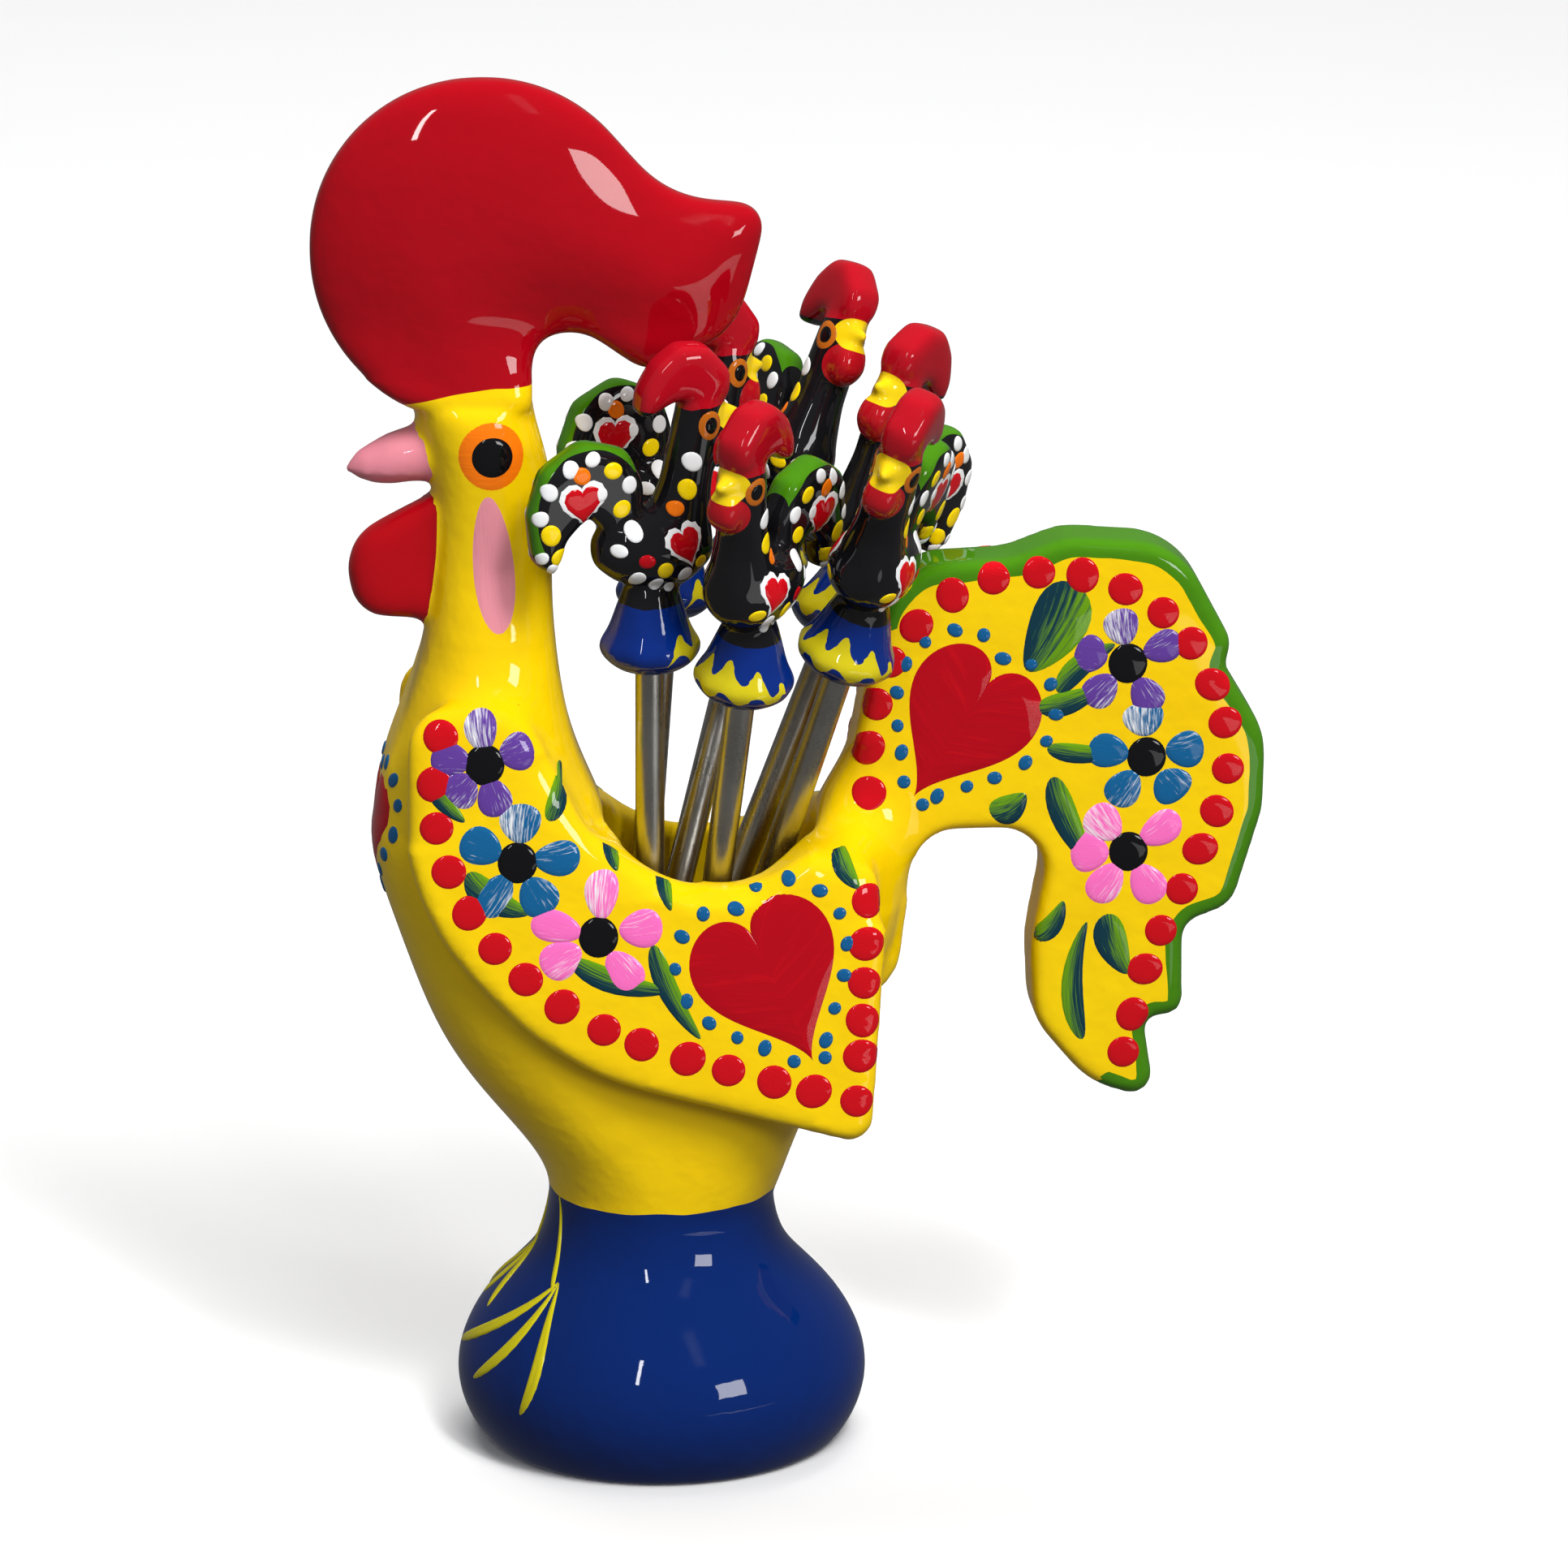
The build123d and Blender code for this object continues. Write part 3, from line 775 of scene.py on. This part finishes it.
def paint_flank(paint, hearts, side):
    """Dots, hearts, flowers and leaves of one wing and of one side of the tail."""
    aim = side_aim(side)
    red_dots(paint, aim, spaced(WING_EDGE, 15) + spaced(WING_REAR, 5), 3.8, 2.1)
    red_dots(paint, aim, spaced(TAIL_EDGE, 22), 3.7, 1.7)
    for place, width, height, turn in FLANK_HEARTS:
        turn = math.radians(turn)
        hearts.lay(heart(place, width, height, turn), aim, HEART_RED, DOT_RED, 0.36)
        heart_dots(paint, aim, place, width, height, turn, 18, 0.75)
    for centre, reach, colour, turns, length, width in FLOWERS:
        petals(paint, aim, centre, reach, colour, WHITE, turns, length, width)
    for place, length, width, turn, bend in LEAVES:
        shape = oval(place, length, width, math.radians(turn), taper=0.35, bend=bend)
        paint.lay(shape, aim, LEAF_DARK, LEAF_GREEN, 0.48, LOW_HEIGHT, 0.3)


def paint_face(face, side):
    """Ringed eye and pink cheek of one side."""
    aim = side_aim(side)
    face.lay(oval((-18.5, 113.9), 7.4, 7.8), aim, ORANGE, PALE_ORANGE, 0.3, THIN_HEIGHT)
    face.lay(oval((-18.4, 113.8), 4.6, 4.6), aim, BLACK, thickness=0.26 * MM)
    cheek = oval((-18.4, 102.0), 15.6, 4.6, math.radians(-86), taper=-0.15)
    face.lay(cheek, aim, PINK, DEEP_PINK, 0.3, THIN_HEIGHT)


def paint_rooster(skin, enamel):
    """Flanks, face, breast and feet of the holder, on both sides."""
    flanks = Paint(skin)
    hearts = Paint(skin, segments=HEART_SIDES)
    for side in (-1, 1):
        paint_flank(flanks, hearts, side)
    finish_piece(flanks.piece("flank_paint"), enamel, "holder")
    finish_piece(hearts.piece("heart_paint"), enamel, "holder")
    face = Paint(skin, segments=FACE_SIDES)
    for side in (-1, 1):
        paint_face(face, side)
    finish_piece(face.piece("face_paint"), enamel, "holder")
    breast = Paint(skin)
    centre, width, height = (0.0, 71.0), 13.0, 13.5
    breast.lay(heart(centre, width, height), front_aim, HEART_RED, DOT_RED, 0.36)
    heart_dots(breast, front_aim, centre, width, height, 0.0, 16, 0.8)
    finish_piece(breast.piece("breast_paint"), enamel, "holder")
    feet = Paint(skin)
    for side, (hip, knee, heel, toes) in ((1, NEAR_FOOT), (-1, FAR_FOOT)):
        feet.lay(stroke(side, hip, knee, heel, 0.9), pedestal_aim, STRAW)
        for middle, toe in toes:
            feet.lay(stroke(side, (heel[0], heel[1] + 1.2), middle, toe, 1.5), pedestal_aim, STRAW)
    finish_piece(feet.piece("leg_paint"), enamel, "holder")


def stroke(side, start, middle, end, width):
    """Curved stroke on the pedestal through places given by the way round in degrees and the height."""
    girth = 20.0
    path = [Vector((math.radians(way) * girth, height)) for way, height in (start, middle, end)]
    bow = path[1] * 2 - (path[0] + path[2]) / 2

    def outline(share, angle):
        along = (1 + share * math.cos(angle)) / 2
        run = (1 - along) ** 2 * path[0] + 2 * along * (1 - along) * bow + along**2 * path[2]
        heading = (path[2] - path[0]).normalized()
        across = share * math.sin(angle) * width / 2 * (0.6 + 0.6 * along)
        spot = run + Vector((-heading.y, heading.x)) * across
        return side * spot.x / girth, spot.y * MM

    return outline


def crest_attribute(piece):
    """Marks the scalloped outer edge of the tail, where the green band is brushed."""
    tail = node_copy("tail")
    tail.normal_update()
    gap = Vector((35.0 * MM, 0, 62.0 * MM))
    rim = []
    for edge in tail.edges:
        flat = [abs(face.normal.y) > 0.99 for face in edge.link_faces]
        if len(flat) == 2 and flat[0] != flat[1]:
            start, end = (vert.co for vert in edge.verts)
            steps = max(int((end - start).length / CREST_STEP), 1)
            rim += [start.lerp(end, i / steps) for i in range(steps + 1)]
    tree = KDTree(len(rim))
    for i, spot in enumerate(rim):
        tree.insert((spot.x, 0, spot.z), i)
    tree.balance()
    layer = piece.data.attributes.new("crest", "FLOAT", "POINT")
    values = []
    for vert in piece.data.vertices:
        spot, _, distance = tree.find((vert.co.x, 0, vert.co.z))
        in_hook = spot.z < 60 * MM
        outer = spot.x > 49.0 * MM if in_hook else (spot - gap).length > 23.5 * MM
        front = spot.x < 27 * MM and spot.z < 93.5 * MM
        value = 1.25 if abs(vert.normal.y) < 0.7 else 1.25 - distance / CREST_BAND
        values.append(value if outer and not front else 0.0)
    layer.data.foreach_set("value", values)


def cut_regions(core):
    """The skin shared out: slabs and lobes by their own swollen forms, the rest by height."""
    pieces = {}
    regions = {}
    for name in ("wing_left", "wing_right", "tail", "beak", "wattle"):
        margin = LOBE_MARGIN if name in ("beak", "wattle") else SLAB_MARGIN
        regions[name] = swelled(remeshed(node_copy(name), REGION_SQUARE), margin)
    for name, region in regions.items():
        pieces[name] = cut(core, region, "INTERSECT")
        core = cut(core, region, "DIFFERENCE")
    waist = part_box("pedestal")[1].z
    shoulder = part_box("neck_head")[0].z
    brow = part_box("comb")[0].z
    far = 1.0
    for name, low, high in (
        ("pedestal", -far, waist),
        ("body_bowl", waist, shoulder),
        ("neck_head", shoulder, brow),
        ("comb", brow, far),
    ):
        pieces[name] = cut(core, slab_between(low, high), "INTERSECT")
    return pieces


def make_holder(clay, enamel):
    """Nine glazed clay pieces cut from one wiped skin, and the paint on them."""
    shape = smoothed(remeshed(node_copy(*CLAY_NODES), CLAY_SQUARE), CLAY_SMOOTHING)
    dome_comb(shape)
    for low, high, rounds in WIPED_JOINS.values():
        wipe(shape, low, high, rounds)
    skin = Skin(shape)
    finishes = {
        "beak": horn_finish("pink horn glaze", PINK, DEEP_PINK),
        "wattle": horn_finish("wattle glaze", BRIGHT_RED, (0.36, 0.0015, 0.006)),
    }
    for name, part in cut_regions(shape).items():
        piece = skin.dress(part, "clay_" + name)
        if name == "tail":
            crest_attribute(piece)
        finish_piece(piece, finishes.get(name, clay), "holder", [name])
    paint_rooster(skin, enamel)


def fork_seat(number):
    """Matrix from a cast rooster's own axes to its place on the fork, read from the CAD nodes."""
    stem = node_copy(f"fork_{number}")
    joint = next(j for j in frame["joints"] if j["child"] == f"fork_{number}")
    axis = Vector(joint["axis"]).normalized()
    top = max(vert.co.dot(axis) for vert in stem.verts)
    ring = [vert.co.copy() for vert in stem.verts if vert.co.dot(axis) > top - 0.02 * MM]
    centre = sum(ring, Vector((0, 0, 0))) / len(ring)
    stem.free()
    base = centre - axis * STEM_SEAT
    rooster = node_copy(f"finial_{number}")
    away = []
    for vert in rooster.verts:
        offset = vert.co - base
        away.append(offset - axis * offset.dot(axis))
    rooster.free()
    farthest = max(offset.length for offset in away)
    tail = sum((offset for offset in away if offset.length > 0.97 * farthest), Vector((0, 0, 0)))
    ahead = -tail.normalized()
    aside = axis.cross(ahead)
    turn = Matrix((ahead, aside, axis)).transposed().to_4x4()
    return Matrix.Translation(base) @ turn


def paint_cast(paint):
    """Dots, hearts and ringed eyes of one small rooster."""
    for side in (-1, 1):
        aim = cast_aim(side)
        for x, z, size, colour in CAST_DOTS:
            paint.lay(oval((x, z), size * 1.5, size * 1.7, x), aim, colour, thickness=LOW_HEIGHT)
        for place, width, height, turn in CAST_HEARTS:
            edge = heart(place, width + CAST_HEART_EDGE, height + CAST_HEART_EDGE, turn)
            paint.lay(edge, aim, WHITE, thickness=THIN_HEIGHT)
            paint.lay(heart(place, width, height, turn), aim, DOT_RED, thickness=0.18 * MM)
        paint.lay(oval((6.0, 27.4), 2.9, 3.4), aim, BROWN_ORANGE, thickness=THIN_HEIGHT)
        paint.lay(oval((6.1, 27.4), 1.6, 2.0), aim, BLACK, thickness=0.2 * MM)


def cast_aim(side):
    """Aims at that flank of a cast rooster."""
    return lambda place: (Vector((place[0], side * CAST_RAY, place[1])), Vector((0, -side, 0)))


def turned_rod(number, seat):
    """The flattened head of a CAD fork under a round stem with fine sides."""
    rod = node_copy(f"fork_{number}")
    bmesh.ops.transform(rod, matrix=seat.inverted(), verts=rod.verts)
    radius = max(vert.co.to_2d().length for vert in rod.verts if vert.co.z > -1.0 * MM)
    round_part = [vert.co.z for vert in rod.verts if abs(vert.co.y) > 0.8 * radius]
    neck, top = min(round_part), max(round_part)
    bmesh.ops.dissolve_limit(rod, angle_limit=math.radians(1), verts=rod.verts, edges=rod.edges)
    geometry = rod.verts[:] + rod.edges[:] + rod.faces[:]
    bmesh.ops.bisect_plane(rod, geom=geometry, plane_co=(0, 0, neck), plane_no=(0, 0, 1), clear_outer=True)
    middle = Matrix.Translation((0, 0, (neck + top) / 2))
    bmesh.ops.create_cone(
        rod, cap_ends=True, segments=ROD_SIDES, radius1=radius, radius2=radius, depth=top - neck,
        matrix=middle
    )
    bmesh.ops.transform(rod, matrix=seat, verts=rod.verts)
    return rod


def make_forks(black, enamel, steel):
    """Six forks alike: a painted cast rooster on a steel rod."""
    seats = {number: fork_seat(number) for number in range(1, FORK_COUNT + 1)}
    blank = node_copy("finial_1")
    bmesh.ops.transform(blank, matrix=seats[1].inverted(), verts=blank.verts)
    cast = swelled(smoothed(remeshed(blank, CAST_SQUARE), CAST_SMOOTHING), CAST_SWELL)
    spot_layer = cast.verts.layers.float_vector.new("cast_place")
    for vert in cast.verts:
        vert[spot_layer] = vert.co / MM
    skin = Skin(cast)
    paint = Paint(skin, segments=CAST_DAB_SIDES)
    paint_cast(paint)
    for number, seat in seats.items():
        body = f"fork_{number}"
        shape = cast.copy()
        bmesh.ops.transform(shape, matrix=seat, verts=shape.verts)
        rooster = read_back(shape, f"cast_rooster_{number}")
        rooster.data.shade_smooth()
        finish_piece(rooster, black, body, [f"finial_{number}"])
        finish_piece(paint.piece(f"cast_paint_{number}", seat), enamel, body)
        rod = read_back(turned_rod(number, seat), f"steel_fork_{number}")
        rod.data.shade_smooth()
        rod.data.set_sharp_from_angle(angle=math.radians(32))
        finish_piece(rod, steel, body, [f"fork_{number}"])


def make_floor(paper):
    """Pale floor that curves up behind. Nothing mirrors it, and it throws no light back."""
    bow = bmesh.new()
    width, depth, rise = 3.0, 1.2, 2.0
    start = bow.verts.new((-width, -depth, 0))
    end = bow.verts.new((-width, depth, 0))
    line = bow.edges.new((start, end))
    bmesh.ops.spin(
        bow, geom=[end], cent=(-width, depth, rise / 2), axis=(1, 0, 0), angle=math.radians(90), steps=16
    )
    edges = [line] + [edge for edge in bow.edges if edge is not line]
    swept = bmesh.ops.extrude_edge_only(bow, edges=edges)
    moved = [item for item in swept["geom"] if isinstance(item, bmesh.types.BMVert)]
    bmesh.ops.translate(bow, vec=(2 * width, 0, 0), verts=moved)
    bmesh.ops.recalc_face_normals(bow, faces=bow.faces)
    floor = read_back(bow, "floor")
    floor.data.shade_smooth()
    floor.data.materials.append(paper)
    floor.visible_glossy = False
    floor.visible_diffuse = False
    return floor


def make_bounce_card(paper):
    """Small card on the floor that gives the steel rods a light streak."""
    card = bmesh.new()
    bmesh.ops.create_grid(card, x_segments=1, y_segments=1, size=0.1)
    bmesh.ops.translate(card, vec=(0.205, -0.26, 0.001), verts=card.verts)
    bounce = read_back(card, "bounce_card")
    bounce.data.materials.append(paper)
    bounce.visible_camera = False
    bounce.visible_diffuse = False
    bounce.visible_shadow = False
    return bounce


# Soft boxes: name, azimuth, elevation, distance, what they face, width, height, watts, seen in the glaze
ROOSTER_CENTRE = (0.014, 0, 0.075)
SOFT_BOXES = (
    ("key", 22, 50, 0.9, ROOSTER_CENTRE, 0.45, 0.45, 4.6, False),
    ("tube", 22, 50, 0.9, ROOSTER_CENTRE, 0.09, 0.34, 3.4, True),
    ("edge", 36, 16, 0.9, ROOSTER_CENTRE, 0.26, 0.20, 2.0, True),
    ("strip", -20, 35, 0.9, ROOSTER_CENTRE, 0.03, 0.30, 0.8, True),
    ("fill", -70, 25, 1.1, ROOSTER_CENTRE, 0.60, 0.80, 0.8, False),
    ("top", 180, 78, 1.0, ROOSTER_CENTRE, 0.80, 0.50, 4.0, False),
    ("backdrop", 0, 55, 1.5, (0, 1.6, 0.5), 1.5, 0.50, 26.0, False),
)


def hang_soft_boxes():
    """Seven soft boxes, of which three show as highlights."""
    for name, azimuth, elevation, distance, target, width, height, power, glossy in SOFT_BOXES:
        lamp = bpy.data.lights.new(name, "AREA")
        lamp.shape = "RECTANGLE"
        lamp.size = width
        lamp.size_y = height
        lamp.energy = power
        lit = bpy.data.objects.new(name, lamp)
        lit.visible_glossy = glossy
        bpy.context.scene.collection.objects.link(lit)
        back = heading_back(azimuth, elevation)
        lit.location = Vector(target) + back * distance
        lit.rotation_euler = (-back).to_track_quat("-Z", "Y").to_euler()


def make_studio():
    """Pale paper, faint room light and soft boxes."""
    paper = Finish("pale paper", roughness=0.7)
    paper.colour(paper.mix(paper.noise(paper.place(), 3.0), (0.86, 0.86, 0.86), (0.90, 0.90, 0.90)))
    floor = make_floor(paper.material)
    bounce = make_bounce_card(paper.material)
    world = bpy.data.worlds.new("studio")
    world.use_nodes = True
    world.node_tree.nodes["Background"].inputs[0].default_value = (1.0, 1.0, 1.0, 1.0)
    world.node_tree.nodes["Background"].inputs[1].default_value = 0.16
    bpy.context.scene.world = world
    bpy.context.scene.view_settings.view_transform = "Standard"
    hang_soft_boxes()


def heading_back(azimuth, elevation):
    """Direction from the object to a viewer at an azimuth and an elevation in degrees."""
    a, e = math.radians(azimuth), math.radians(elevation)
    return Vector((math.sin(a) * math.cos(e), -math.cos(a) * math.cos(e), math.sin(e)))


def make_camera():
    """The photograph's view: a long lens, from the left and a little above."""
    azimuth, elevation, distance = -5.0, 15.7, 0.9
    target = Vector((0.0138, 0.0, 0.0746))
    frame_width = 0.1731
    sensor = 36.0
    camera = bpy.data.objects.new("camera", bpy.data.cameras.new("camera"))
    bpy.context.scene.collection.objects.link(camera)
    back = heading_back(azimuth, elevation)
    camera.location = target + back * distance
    camera.rotation_euler = (-back).to_track_quat("-Z", "Y").to_euler()
    camera.data.sensor_width = sensor
    camera.data.lens = sensor * distance / frame_width
    camera.data.clip_start = 0.01
    camera.data.clip_end = 20.0
    bpy.context.scene.camera = camera


clay = clay_finish("clay glaze")
enamel = enamel_finish("brushed enamel")
make_holder(clay, enamel)
make_forks(cast_finish("black enamel"), enamel, steel_finish("polished steel"))
make_studio()
make_camera()
